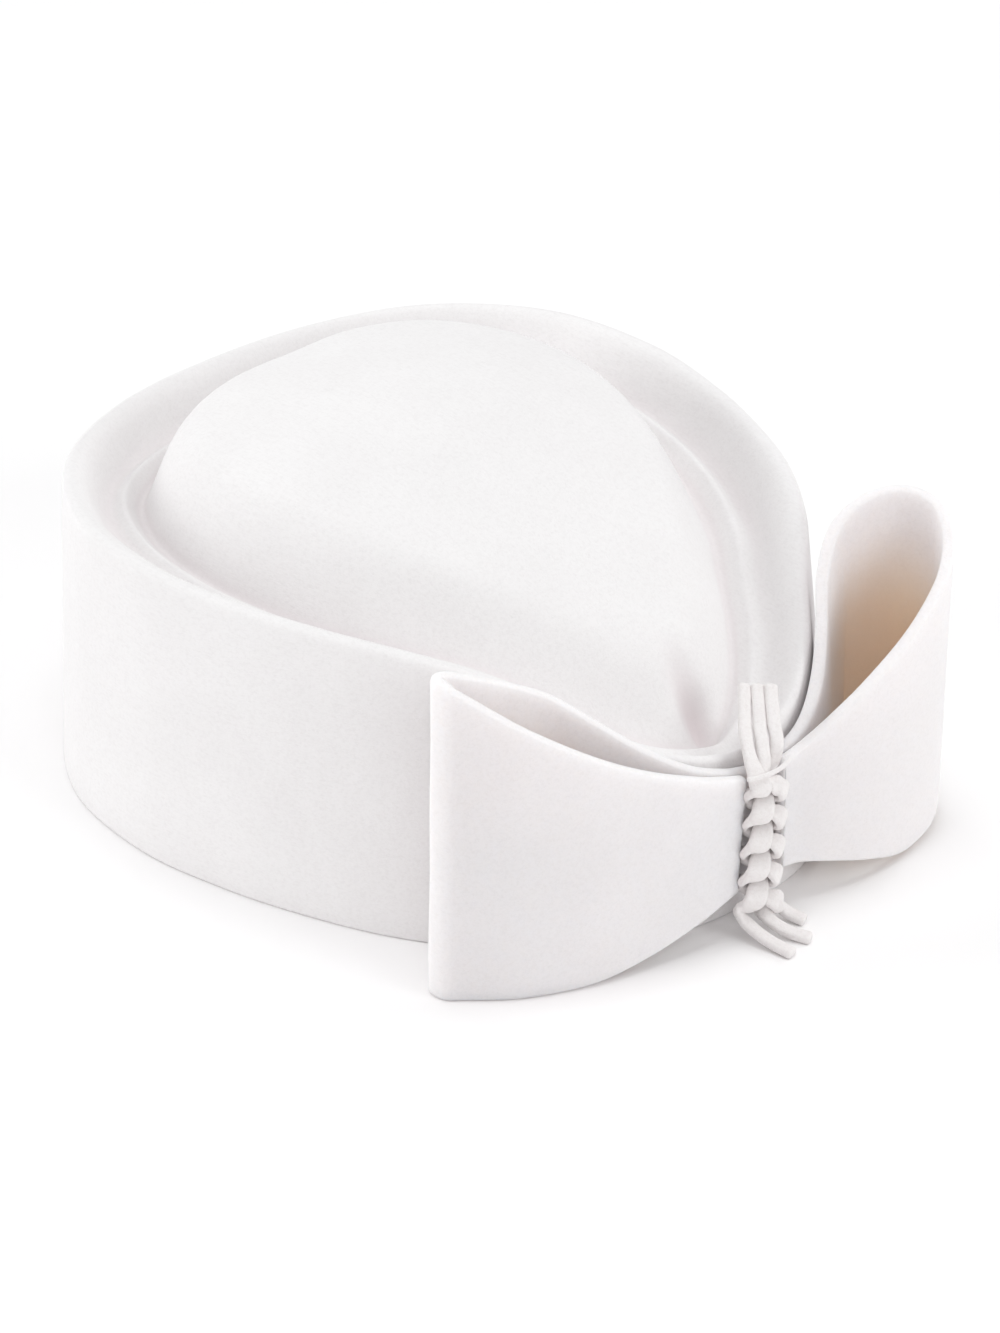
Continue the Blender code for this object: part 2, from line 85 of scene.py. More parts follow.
class SectionRow(NamedTuple):
    """Fold of the felt from the top of the wall to the foot of the dome.

    inset and drop are shares of the channel's inset and drop; the front pair is the same
    fold at the very front, where the channel closes up.
    """

    inset: float
    drop: float
    front_inset: float
    front_drop: float


class BandRow(NamedTuple):
    """Station along a bow band, from the middle along the wall and back round the fold.

    out is a share of the reach, ahead of the depth in front of the hat, top and low of
    the height; low_out is out at the lower edge.
    """

    out: float
    ahead: float
    top: float
    low_out: float
    low: float


class CrestRow(NamedTuple):
    """Station of the strands from their cut ends inside the rim to the top edge.

    across, back and rise are shares of the fan; side and rear say how the three strands
    lie beside each other.
    """

    across: float
    back: float
    rise: float
    side: float
    rear: float


class EndRow(NamedTuple):
    """Station of a strand from the foot of the plait to its cut end on the floor."""

    lane: int
    across: float
    ahead: float
    rise: float


class LampRow(NamedTuple):
    """Soft lamp over the hat."""

    name: str
    place: Triple
    power: float


PLAN = (
    PlanRow(1.000, 0.000, 0.972, 0.64, 0.93),
    PlanRow(0.956, 0.378, 0.979, 0.62, 0.82),
    PlanRow(0.806, 0.713, 0.993, 0.60, 0.80),
    PlanRow(0.547, 0.934, 1.000, 0.58, 0.92),
    PlanRow(0.241, 1.000, 0.991, 0.58, 0.95),
    PlanRow(-0.034, 0.961, 0.977, 0.64, 0.92),
    PlanRow(-0.255, 0.889, 0.965, 0.80, 0.93),
    PlanRow(-0.439, 0.802, 0.948, 1.02, 0.98),
    PlanRow(-0.595, 0.685, 0.905, 1.18, 1.05),
    PlanRow(-0.717, 0.540, 0.818, 1.18, 1.07),
    PlanRow(-0.825, 0.385, 0.699, 0.79, 1.09),
    PlanRow(-0.893, 0.205, 0.592, 0.39, 0.98),
    PlanRow(-0.910, 0.000, 0.549, 0.10, 0.80),
)

SECTION = (
    SectionRow(0.000, 0.259, 0.000, 0.241),
    SectionRow(0.019, 0.103, 0.017, 0.095),
    SectionRow(0.054, 0.026, 0.046, 0.022),
    SectionRow(0.108, 0.000, 0.085, 0.000),
    SectionRow(0.185, 0.052, 0.140, 0.045),
    SectionRow(0.265, 0.224, 0.200, 0.130),
    SectionRow(0.345, 0.517, 0.262, 0.230),
    SectionRow(0.420, 0.793, 0.325, 0.320),
    SectionRow(0.500, 0.950, 0.388, 0.370),
    SectionRow(0.572, 0.945, 0.445, 0.365),
    SectionRow(0.635, 0.835, 0.500, 0.315),
    SectionRow(0.690, 0.760, 0.548, 0.275),
    SectionRow(0.742, 0.830, 0.592, 0.305),
    SectionRow(0.805, 0.990, 0.650, 0.390),
    SectionRow(0.875, 1.110, 0.710, 0.455),
    SectionRow(0.945, 1.130, 0.760, 0.470),
)

LEFT_BAND = (
    BandRow(0.015, 0.088, 0.488, 0.015, 0.110),
    BandRow(0.128, 0.072, 0.512, 0.128, 0.104),
    BandRow(0.256, -0.012, 0.561, 0.256, 0.091),
    BandRow(0.385, -0.212, 0.646, 0.385, 0.073),
    BandRow(0.500, -0.472, 0.744, 0.500, 0.049),
    BandRow(0.615, -0.692, 0.841, 0.616, 0.024),
    BandRow(0.744, -0.812, 0.915, 0.748, 0.006),
    BandRow(0.872, -0.904, 0.976, 0.882, 0.000),
    BandRow(0.940, -0.985, 1.000, 0.959, 0.000),
    BandRow(0.970, -0.975, 1.000, 0.993, 0.000),
    BandRow(0.977, -0.895, 0.998, 1.002, 0.000),
    BandRow(0.974, -0.795, 0.992, 0.998, 0.000),
    BandRow(0.948, -0.705, 0.968, 0.968, 0.000),
    BandRow(0.826, -0.350, 0.864, 0.836, 0.000),
    BandRow(0.641, -0.060, 0.738, 0.645, 0.006),
    BandRow(0.462, 0.088, 0.640, 0.463, 0.037),
    BandRow(0.282, 0.188, 0.561, 0.292, 0.085),
    BandRow(0.175, 0.220, 0.524, 0.194, 0.118),
    BandRow(0.115, 0.224, 0.506, 0.140, 0.134),
)

RIGHT_BAND = (
    BandRow(0.015, 0.088, 0.488, 0.015, 0.110),
    BandRow(0.154, 0.068, 0.518, 0.154, 0.104),
    BandRow(0.256, -0.032, 0.561, 0.256, 0.091),
    BandRow(0.359, -0.232, 0.622, 0.359, 0.073),
    BandRow(0.436, -0.432, 0.720, 0.436, 0.055),
    BandRow(0.513, -0.652, 0.829, 0.511, 0.037),
    BandRow(0.615, -0.792, 0.927, 0.609, 0.012),
    BandRow(0.731, -0.732, 0.988, 0.718, 0.021),
    BandRow(0.833, -0.532, 1.000, 0.809, 0.033),
    BandRow(0.865, -0.232, 0.976, 0.832, 0.042),
    BandRow(0.821, 0.048, 0.927, 0.788, 0.045),
    BandRow(0.737, 0.248, 0.866, 0.713, 0.039),
    BandRow(0.641, 0.348, 0.805, 0.628, 0.028),
    BandRow(0.513, 0.408, 0.732, 0.507, 0.024),
    BandRow(0.372, 0.408, 0.659, 0.370, 0.061),
    BandRow(0.244, 0.336, 0.585, 0.244, 0.098),
    BandRow(0.130, 0.240, 0.518, 0.130, 0.128),
    BandRow(0.052, 0.224, 0.500, 0.052, 0.140),
)

CREST = (
    CrestRow(0.70, 0.84, 0.62, 0.54, -0.56),
    CrestRow(0.50, 0.62, 0.45, 0.58, -0.56),
    CrestRow(0.28, 0.38, 0.30, 0.76, -0.46),
    CrestRow(0.11, 0.15, 0.15, 1.00, -0.12),
)

ENDS = (
    EndRow(-1, -0.25, 0.06, 0.17),
    EndRow(-1, -0.25, 0.28, 0.06),
    EndRow(-1, -0.21, 0.54, 0.00),
    EndRow(-1, -0.16, 0.82, 0.00),
    EndRow(0, -0.02, 0.15, 0.16),
    EndRow(0, 0.06, 0.36, 0.06),
    EndRow(0, 0.16, 0.54, 0.00),
    EndRow(0, 0.27, 0.73, 0.00),
    EndRow(1, 0.35, -0.02, 0.18),
    EndRow(1, 0.40, 0.11, 0.07),
    EndRow(1, 0.46, 0.24, 0.01),
    EndRow(1, 0.53, 0.38, 0.00),
)

LAMPS = (
    LampRow("left_low", (-1.70, 1.60, 0.60), 22.0),
    LampRow("back_high", (0.30, 1.80, 1.80), 4.5),
    LampRow("right_high", (1.60, -0.50, 1.50), 7.8),
    LampRow("front_left", (-1.20, -1.40, 1.60), 5.4),
    LampRow("front_right", (0.40, -2.00, 1.00), 12.0),
    LampRow("overhead", (0.00, 0.05, 2.40), 14.0),
)


def through(values: Array, steps: Array) -> Array:
    """Smooth curve through rows of values.

    Args:
        values: One row per station.
        steps: Fractional row numbers to sample at.

    Returns:
        One row per step.
    """
    values = np.asarray(values, dtype=float)
    last = len(values) - 1
    steps = np.clip(np.asarray(steps, dtype=float), 0.0, last)
    low = np.minimum(steps.astype(int), last - 1)
    part = (steps - low)[:, None]
    before, here = values[np.maximum(low - 1, 0)], values[low]
    after, beyond = values[low + 1], values[np.minimum(low + 2, last)]
    square, cube = part * part, part * part * part
    return (
        here * (2 * cube - 3 * square + 1)
        + (after - before) / 2 * (cube - 2 * square + part)
        + after * (3 * square - 2 * cube)
        + (beyond - here) / 2 * (cube - square)
    )


def ease(value: Array | float, low: float, high: float) -> Array:
    """Goes smoothly from 0 at low to 1 at high."""
    part = np.clip((np.asarray(value, dtype=float) - low) / (high - low), 0.0, 1.0)
    return part * part * (3 - 2 * part)


def unit(vectors: Array) -> Array:
    """Rows scaled to length one."""
    return vectors / np.linalg.norm(vectors, axis=-1, keepdims=True)


def placed(name: str, data: bpy.types.ID) -> Piece:
    """Puts a mesh, camera or lamp into the scene.

    Args:
        name: Name of the new object.
        data: What it holds.

    Returns:
        The object.
    """
    made = bpy.data.objects.new(name, data)
    bpy.context.scene.collection.objects.link(made)
    return made


def rounded(wave: Array | float) -> Array:
    """Sine or cosine for an edge that is soft but not round."""
    return np.sign(wave) * np.abs(wave) ** EDGE_POWER


def loft(name: str, rings: Array, start: Array | None, end: Array | None) -> Piece:
    """Closed skin over rings of points.

    Args:
        name: Name of the new object.
        rings: Ring number, point number and xyz.
        start: Point that closes the first ring, or None for a flat cap.
        end: Point that closes the last ring, or None for a flat cap.

    Returns:
        The object, in the scene, smooth, with its faces out.
    """
    total, count = rings.shape[:2]
    points = [tuple(point) for point in rings.reshape(-1, 3)]
    faces: list[tuple[int, ...]] = []
    for ring in range(total - 1):
        here, there = ring * count, (ring + 1) * count
        for k in range(count):
            after = (k + 1) % count
            faces.append((here + k, here + after, there + after, there + k))
    for tip, first in ((start, 0), (end, (total - 1) * count)):
        if tip is None:
            for k in range(count // 2 - 1):
                far = first + count - 1 - k
                faces.append((first + k, first + k + 1, far - 1, far))
        else:
            points.append(tuple(tip))
            faces.extend((first + k, first + (k + 1) % count, len(points) - 1) for k in range(count))
    mesh = bpy.data.meshes.new(name)
    mesh.from_pydata(points, [], faces)
    skin = bmesh.new()
    skin.from_mesh(mesh)
    bmesh.ops.recalc_face_normals(skin, faces=skin.faces)
    skin.to_mesh(mesh)
    skin.free()
    mesh.shade_smooth()
    return placed(name, mesh)


def skin_points(mesh: bpy.types.Mesh) -> tuple[Array, Array]:
    """Reads the points of a skin.

    Args:
        mesh: The skin.

    Returns:
        Places and outward normals, one row for each point.
    """
    count = len(mesh.vertices)
    places, normals = np.empty(count * 3), np.empty(count * 3)
    mesh.vertices.foreach_get("co", places)
    mesh.vertex_normals.foreach_get("vector", normals)
    return places.reshape(-1, 3), normals.reshape(-1, 3)


def keep_painted_shade(mesh: bpy.types.Mesh, depth: Array) -> None:
    """Stores how deep in a fold each point lies, 0 to 1: the felt paints shade from it."""
    layer = mesh.attributes.new(PAINTED_SHADE_LAYER, "FLOAT", "POINT")
    layer.data.foreach_set("value", depth.astype(np.float32))


def unevenness(piece: Piece, amount: float, size: float, floor: float = 0.002) -> None:
    """Moves a skin in and out along its normals by a slow wave, as pressed felt lies.

    Args:
        piece: Object with a mesh.
        amount: Greatest move, metres.
        size: Width of the waves, metres.
        floor: Height below which nothing moves.
    """
    mesh = piece.data
    places, normals = skin_points(mesh)
    waves = np.array([noise.noise(Vector(place) / size) for place in places])
    held = ease(places[:, 2], floor, floor + WAVE_RISE)
    moved = places + normals * (waves * amount * held)[:, None]
    mesh.vertices.foreach_set("co", moved.ravel())
    mesh.update()


class Grain(Enum):
    """Ways that felt is finished, as how short its fibres lie for their length."""

    BRUSHED = 0.14
    PRESSED = 0.24
    CUT = 0.45


@dataclass(frozen=True)
class Finish:
    """Wool felt: soft fibres, small pits between them and a slow change of colour.

    Colours are linear: light on the fibres, shade between them, and a warm painted shade deep in folds
    and inside loops.
    fibre, pit, clump and drift are sizes in metres, relief is the bump's depth, glow the
    share of light that wanders through the felt as far as glow_reach.
    """

    name: str
    light: Triple
    shade: Triple
    # colour of the painted shade in folds and inside loops
    painted_shade_colour: Triple
    grain: Grain
    fibre: float = 0.00042
    fibre_curl: float = 0.8
    fibre_share: float = 0.55
    pit: float = 0.00100
    pit_detail: float = 3.0
    pit_rough: float = 0.62
    clump: float = 0.0045
    clump_relief: float = 1.4
    drift: float = 0.022
    drift_contrast: float = 0.06
    drift_span: tuple[float, float] = (0.3, 0.7)
    relief: float = 0.00013
    contrast: float = 0.18
    tone_span: tuple[float, float] = (0.36, 0.62)
    roughness: float = 0.95
    shine: float = 0.15
    sheen: float = 0.25
    sheen_spread: float = 0.55
    glow: float = 0.0
    glow_reach: float = 0.006
    glow_tint: Triple = (1.0, 0.94, 0.88)

    def material(self) -> bpy.types.Material:
        """Builds the node material of this felt.

        Returns:
            The material.
        """
        made = bpy.data.materials.new(self.name)
        made.use_nodes = True
        bench = Bench(made.node_tree)
        place = bench.add("ShaderNodeTexCoord").outputs["Object"]
        fibres = [self.fibres(bench, place, turn) for turn in FIBRE_TURNS]
        strongest = bench.math("MAXIMUM", bench.math("MAXIMUM", fibres[0], fibres[1]), fibres[2])
        strongest = bench.math("MULTIPLY", strongest, self.fibre_share)
        pits = bench.noise(place, self.pit, self.pit_detail, self.pit_rough)
        height = bench.math("ADD", strongest, bench.math("MULTIPLY", pits, 1.0 - self.fibre_share))
        swell = bench.bump(bench.noise(place, self.clump), self.relief * self.clump_relief)
        shader = made.node_tree.nodes["Principled BSDF"]
        bench.join(self.colour(bench, place, height), shader.inputs["Base Color"])
        bench.join(bench.bump(height, self.relief, swell), shader.inputs["Normal"])
        shader.inputs["Roughness"].default_value = self.roughness
        shader.inputs["Specular IOR Level"].default_value = self.shine
        shader.inputs["Sheen Weight"].default_value = self.sheen
        shader.inputs["Sheen Roughness"].default_value = self.sheen_spread
        shader.inputs["Subsurface Weight"].default_value = self.glow
        shader.inputs["Subsurface Radius"].default_value = self.glow_tint
        shader.inputs["Subsurface Scale"].default_value = self.glow_reach
        return made

    def colour(self, bench: "Bench", place: Socket, height: Socket) -> Socket:
        """Colour of the felt: light on its fibres, uneven over the piece, with painted shade in folds.

        Args:
            bench: Where the nodes are made.
            place: Places on the piece.
            height: How high the felt stands there.

        Returns:
            The colour.
        """
        tone = bench.lighten(bench.span(height, *self.tone_span), self.contrast)
        slow = bench.span(bench.noise(place, self.drift), *self.drift_span)
        tone = bench.math("MULTIPLY", tone, bench.lighten(slow, self.drift_contrast))
        # painted shade: the depth attribute blends the felt towards a warm, darker colour
        deep = bench.add("ShaderNodeAttribute")
        deep.attribute_name = PAINTED_SHADE_LAYER
        return bench.mix(deep.outputs["Fac"], bench.mix(tone, self.shade, self.light), self.painted_shade_colour)

    def fibres(self, bench: "Bench", place: Socket, turn: Triple) -> Socket:
        """Stretched noise in one direction: one layer of lying fibres.

        Args:
            bench: Where the nodes are made.
            place: Places on the piece.
            turn: How the layer is turned.

        Returns:
            How high the fibres of this layer stand.
        """
        lay = bench.add("ShaderNodeMapping")
        lay.inputs["Rotation"].default_value = turn
        across, along = 1.0 / self.fibre, self.grain.value / self.fibre
        lay.inputs["Scale"].default_value = (across, along, across)
        bench.join(place, lay.inputs["Vector"])
        return bench.noise(lay.outputs["Vector"], 1.0, curl=self.fibre_curl)


@dataclass
class Bench:
    """Puts shader nodes into one tree and joins them."""

    tree: bpy.types.NodeTree

    def add(self, kind: str) -> bpy.types.Node:
        """New node of a kind."""
        return self.tree.nodes.new(kind)

    def join(self, source: Socket, target: Socket) -> None:
        """Link from an output to an input."""
        self.tree.links.new(source, target)

    def feed(self, value: object, target: Socket) -> None:
        """Joins a socket, or sets a number or colour.

        Args:
            value: A socket, a number or a colour.
            target: The input that takes it.
        """
        if isinstance(value, Socket):
            self.join(value, target)
        elif isinstance(value, tuple):
            target.default_value = (*value, 1.0)
        else:
            target.default_value = value

    def math(self, kind: str, first: object, second: object) -> Socket:
        """Result of one math node.

        Args:
            kind: What it works out.
            first: A socket or a number.
            second: A socket or a number.

        Returns:
            The result.
        """
        node = self.add("ShaderNodeMath")
        node.operation = kind
        self.feed(first, node.inputs[0])
        self.feed(second, node.inputs[1])
        return node.outputs[0]

    def lighten(self, value: Socket, contrast: float) -> Socket:
        """Value from 0 to 1 brought into the stretch of this contrast that ends at 1."""
        return self.math("ADD", self.math("MULTIPLY", value, contrast), 1.0 - contrast)

    def span(self, value: Socket, low: float, high: float) -> Socket:
        """Value mapped from low and high to 0 and 1, smoothly.

        Args:
            value: The value.
            low: What becomes 0.
            high: What becomes 1.

        Returns:
            The mapped value.
        """
        node = self.add("ShaderNodeMapRange")
        node.interpolation_type = "SMOOTHSTEP"
        node.inputs["From Min"].default_value = low
        node.inputs["From Max"].default_value = high
        self.join(value, node.inputs["Value"])
        return node.outputs["Result"]

    def noise(
        self, place: Socket, size: float, detail: float = 2.0, rough: float = 0.5, curl: float = 0.0
    ) -> Socket:
        """Noise with spots of a size.

        Args:
            place: Places on the piece.
            size: Size of the spots, metres.
            detail: How many finer layers it has.
            rough: How strong those are.
            curl: How far it is distorted.

        Returns:
            The noise.
        """
        node = self.add("ShaderNodeTexNoise")
        node.inputs["Scale"].default_value = 1.0 / size
        node.inputs["Detail"].default_value = detail
        node.inputs["Roughness"].default_value = rough
        node.inputs["Distortion"].default_value = curl
        self.join(place, node.inputs["Vector"])
        return node.outputs["Fac"]

    def bump(self, height: Socket, depth: float, under: Socket | None = None) -> Socket:
        """Normal of a surface in low relief.

        Args:
            height: How high it stands, from 0 to 1.
            depth: What 1 stands for, metres.
            under: Normal of a coarser relief below, if there is one.

        Returns:
            The normal.
        """
        node = self.add("ShaderNodeBump")
        node.inputs["Strength"].default_value = 1.0
        node.inputs["Distance"].default_value = depth
        self.join(height, node.inputs["Height"])
        if under is not None:
            self.join(under, node.inputs["Normal"])
        return node.outputs["Normal"]

    def mix(self, share: object, first: object, second: object) -> Socket:
        """Blend of two colours.

        Args:
            share: How much of the second, a socket or a number.
            first: A socket or a colour.
            second: A socket or a colour.

        Returns:
            The blend.
        """
        node = self.add("ShaderNodeMix")
        node.data_type = "RGBA"
        self.feed(share, node.inputs["Factor"])
        self.feed(first, node.inputs[MIX_FIRST])
        self.feed(second, node.inputs[MIX_SECOND])
        return node.outputs[MIX_RESULT]


BODY_FELT = Finish(
    name="body_felt",
    light=(0.878, 0.856, 0.857),
    shade=(0.60, 0.56, 0.56),
    # the third colour is a painted shade for the channel, the valley and the pit
    painted_shade_colour=(0.76, 0.69, 0.70),
    grain=Grain.BRUSHED,
)
BOW_FELT = Finish(
    name="bow_felt",
    light=(0.880, 0.832, 0.838),
    shade=(0.62, 0.57, 0.56),
    # the third colour is a painted tan shade for the inside of the loops
    painted_shade_colour=(0.84, 0.66, 0.52),
    grain=Grain.PRESSED,
    relief=0.00012,
    glow=0.9,
)
STRAND_FELT = Finish(
    name="strand_felt",
    light=(0.865, 0.830, 0.825),
    shade=(0.66, 0.60, 0.58),
    painted_shade_colour=(0.80, 0.66, 0.54),
    grain=Grain.CUT,
    relief=0.00018,
    contrast=0.3,
)


@dataclass
class Rays:
    """Radial sections of the hat, one per direction from the wall towards the crown."""

    base: Array
    inward: Array
    lean: Array
    reach: Array
    inset: Array
    level: Array
    shoulder: Array

    def point(self, inset: Array, level: Array) -> Array:
        """Points at insets from the wall's top, with their heights."""
        flat = self.base + self.inward * (self.lean + inset)[:, None]
        return np.column_stack([flat, level])

    def wall(self, share: float, inset: float = 0.0) -> Array:
        """Points on the leaning side wall at a share of its height."""
        flat = self.base + self.inward * (self.lean * share + inset)[:, None]
        return np.column_stack([flat, self.level[:, 0] * share])


@dataclass
class HatBody:
    """Blocked body: leaning wall, rolled rim, channel, ridge, dome and the head hollow.

    middle, peak, tip and front_span are shares of the half length, back_fall and side_fall
    of the crown's fall. crowding draws sections towards the front, the gathers draw rings
    together. waves are amounts and sizes.
    """

    length: float = 0.2040
    width: float = 0.1752
    height: float = 0.0770
    felt: float = 0.0030
    wall_lean: float = 0.0050
    channel_inset: float = 0.0250
    channel_drop: float = 0.0116
    crown_height: float = 0.0920
    crown_fall: float = 0.0415
    shoulder_width: float = 0.0150
    shoulder_turn: float = 2.5
    dimple_depth: float = 0.0082
    dimple_wide: float = 0.0078
    dimple_long: float = 0.0108
    dimple_aside: float = 0.0016
    dimple_along: float = -0.0722
    soften: int = 10
    edge_round: float = 0.0009
    turns: int = 360
    dome_rings: int = 55
    fold_rings: int = 71
    fold_fine: int = 4
    # the next two set the painted shade in the body's folds
    fold_shade_depth: float = 0.0022
    fold_shade_strength: float = 0.4
    middle: float = 0.15
    peak: float = 0.245
    tip: float = -0.735
    back_fall: float = 0.45
    side_fall: float = 0.37
    front_span: tuple[float, float] = (0.40, 0.93)
    shoulder_share: float = 0.8
    crowding: float = 0.42
    dome_gather: float = 1.25
    wall_rings: int = 15
    edge_rings: int = 4
    inner_rings: int = 44
    inner_gather: float = 0.85
    under_steps: int = 25
    under_reach: float = 0.98
    soft_rise: tuple[int, int] = (22, 8)
    soft_fall: tuple[int, int] = (16, 34)
    look_around: tuple[int, ...] = (-10, -7, -4, 4, 7, 10)
    waves: tuple[tuple[float, float], ...] = ((0.00014, 0.030), (0.00004, 0.007))
    finish: Finish = BODY_FELT

    @property
    def half_length(self) -> float:
        """Half of the hat's length."""
        return self.length / 2

    @property
    def half_width(self) -> float:
        """Half of the hat's width."""
        return self.width / 2

    @property
    def crown_along(self) -> float:
        """Where the sections meet, along the hat."""
        return self.middle * self.half_length

    @property
    def shift(self) -> Array:
        """From the hat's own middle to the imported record's origin."""
        return np.array([0.0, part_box("hat_body")[1][1] - self.half_length, 0.0])

    @property
    def front_line(self) -> float:
        """The hat's foremost wall position."""
        return self.plan_at(np.array([math.pi]))[1][0]

    @property
    def crest(self) -> float:
        """Height of the rim at the very front."""
        return PLAN[-1].height * self.height

    def plan_at(self, turn: Array) -> tuple[Array, ...]:
        """Base line, rim height, lean and the channel's share.

        Args:
            turn: 0 at the back, pi at the front, 2 pi at the back again.

        Returns:
            across, along, height and lean, in metres, and channel as a share.
        """
        rows = np.array([(row.across, row.along, row.height, row.lean, row.channel) for row in PLAN])
        mirror = np.array([-1, 1, 1, 1, 1])
        full = np.concatenate([rows[1:4][::-1] * mirror, rows, rows[-4:-1][::-1] * mirror])
        turn = np.mod(turn, 2 * math.pi)
        side = np.where(turn > math.pi, -1.0, 1.0)
        folded = np.where(turn > math.pi, 2 * math.pi - turn, turn)
        value = through(full, 3 + folded / math.pi * (len(rows) - 1))
        scale = np.array([self.half_width, self.half_length, self.height, self.wall_lean, 1.0])
        across, along, height, lean, channel = (value * scale).T
        return across * side, along, height, lean, channel

    def crown_at(self, across: Array, along: Array) -> Array:
        """Height of the dome's top surface: high at the back, falling to the front tip.

        Args:
            across: Places across the hat.
            along: Places along it.

        Returns:
            Heights.
        """
        peak, tip = self.peak * self.half_length, self.tip * self.half_length
        ahead = (along - peak) / (tip - peak)
        fall = np.where(ahead > 0, self.crown_fall, self.crown_fall * self.back_fall) * ahead**2
        aside = self.crown_fall * self.side_fall * (across / self.half_width) ** 2
        return self.crown_height - fall - aside

    def rays(self, turn: Array) -> Rays:
        """Sections at the given turns.

        Args:
            turn: Turns as in plan_at.

        Returns:
            The sections, with their folds sampled finely.
        """
        across, along, height, lean, channel = self.plan_at(turn)
        base = np.column_stack([across, along])
        inward = np.array([0.0, self.crown_along]) - base
        reach = np.linalg.norm(inward, axis=1)
        low, high = self.front_span
        blend = ease(-along, low * self.half_length, high * self.half_length)[:, None]
        fine_steps = self.fold_fine * (self.fold_rings - 1) + 1
        fine = through(np.array(SECTION), np.linspace(0, len(SECTION) - 1, fine_steps))
        inset = (fine[:, 0] * (1 - blend) + fine[:, 2] * blend) * self.channel_inset * channel[:, None]
        drop = (fine[:, 1] * (1 - blend) + fine[:, 3] * blend) * self.channel_drop
        inset = np.maximum.accumulate(inset, axis=1)
        level = height[:, None] - drop
        free = reach - lean
        shoulder = np.minimum(self.shoulder_width, self.shoulder_share * (free - inset[:, -1]))
        return Rays(base, inward / reach[:, None], lean, free, inset, level, shoulder)

    def top(self, rays: Rays, inset: Array) -> Array:
        """Height of the upper felt surface.

        Args:
            rays: Sections.
            inset: For each section, insets from the wall's top.

        Returns:
            Heights, shaped as inset.
        """
        folds = np.stack([np.interp(inset[k], rays.inset[k], rays.level[k]) for k in range(len(inset))])
        flat = rays.base[:, None, :] + rays.inward[:, None, :] * (rays.lean[:, None] + inset)[:, :, None]
        across, along = flat[:, :, 0], flat[:, :, 1]
        foot, foot_level = rays.inset[:, -1:], rays.level[:, -1:]
        share = np.clip((inset - foot) / rays.shoulder[:, None], 0.0, 1.0)
        risen = 1 - (1 - share) ** self.shoulder_turn
        dome = foot_level + (self.crown_at(across, along) - foot_level) * risen
        return np.where(inset < foot, folds, dome)

    def pit(self, across: Array, along: Array) -> Array:
        """Depth of the hollow that is pressed into the dome's front tip.

        Args:
            across: Places across the hat.
            along: Places along it.

        Returns:
            Depths.
        """
        off_along = (along - self.dimple_along) / (self.dimple_long / 2)
        off_across = (across - self.dimple_aside) / (self.dimple_wide / 2)
        return self.dimple_depth * np.exp(-(off_across**2) - off_along**2)

    def under(self, rays: Rays, inset: Array) -> Array:
        """Height of the lower felt surface, one felt thickness inside the upper one.

        Args:
            rays: Sections.
            inset: For each section, insets from the wall's top.

        Returns:
            Heights, shaped as inset.
        """
        offsets = np.linspace(-self.under_reach, self.under_reach, self.under_steps) * self.felt
        near = np.clip(inset[:, :, None] + offsets, 0.0, rays.reach[:, None, None])
        level = self.top(rays, near.reshape(len(inset), -1)).reshape(near.shape)
        inward = rays.inward[:, None, None, :] * (rays.lean[:, None, None] + near)[..., None]
        flat = rays.base[:, None, None, :] + inward
        level = level - self.pit(flat[..., 0], flat[..., 1])
        return np.min(level - np.sqrt(self.felt**2 - offsets**2), axis=2)

    def rings(self) -> Array:
        """Rings of points from the dome's middle, over the rim, round the edge and inside.

        Returns:
            Ring number, point number and xyz.
        """
        steps = np.arange(self.turns) * 2 * math.pi / self.turns
        rays = self.rays(steps + self.crowding * np.sin(steps))
        foot = rays.inset[:, -1]
        found = []
        for share in np.linspace(0, 1, self.dome_rings + 2)[1:-1][::-1] ** self.dome_gather:
            inset = foot + (rays.reach - foot) * share
            found.append(rays.point(inset, self.top(rays, inset[:, None])[:, 0]))
        for step in range(self.fold_fine * (self.fold_rings - 1), -1, -self.fold_fine):
            inset = rays.inset[:, step]
            found.append(rays.point(inset, self.top(rays, inset[:, None])[:, 0]))
        upper = self.softened(np.array(found), self.dome_rings)
        upper[:, :, 2] -= self.pit(upper[:, :, 0], upper[:, :, 1])
        found = list(upper)
        for share in np.linspace(1, 0, self.wall_rings + 2)[1:-1]:
            found.append(rays.wall(share))
        quarter = np.linspace(0, math.pi / 2, self.edge_rings)
        outside = [(turn, 0.0, 1) for turn in quarter]
        inside = [(turn, self.felt, -1) for turn in quarter[::-1]]
        for turn, start, way in outside + inside:
            ring = rays.wall(0.0, start + way * self.edge_round * (1 - math.cos(turn)))
            ring[:, 2] = self.edge_round * (1 - math.sin(turn))
            found.append(ring)
        inner = self.under(rays, np.full((self.turns, 1), self.felt))[:, 0]
        for share in (0.25, 0.5, 0.75):
            lean = rays.lean * share * inner / rays.level[:, 0]
            flat = rays.base + rays.inward * (lean + self.felt)[:, None]
            found.append(np.column_stack([flat, inner * share]))
        for share in np.linspace(0, 1, self.inner_rings + 1)[:-1] ** self.inner_gather:
            inset = self.felt + (rays.reach - self.felt) * share
            found.append(rays.point(inset, self.under(rays, inset[:, None])[:, 0]))
        return np.array(found)

    def softened(self, rings: Array, foot: int) -> Array:
        """Blends the foot of the dome into the channel, as a block presses it.

        Args:
            rings: Rings of the upper surface, from the dome's middle to the wall.
            foot: Number of the ring where dome and channel meet.

        Returns:
            The same rings, softer around the foot.
        """
        past = np.arange(len(rings)) - foot
        rise, fall = self.soft_rise, self.soft_fall
        share = ease(past, -rise[0], -rise[1]) * (1 - ease(past, *fall))
        share = share[:, None, None]
        for _ in range(self.soften):
            mean = rings.copy()
            mean[1:-1] = (rings[:-2] + 2 * rings[1:-1] + rings[2:]) / 4
            around = (np.roll(mean, 1, axis=1) + 2 * mean + np.roll(mean, -1, axis=1)) / 4
            rings = rings + (around - rings) * share
        return rings

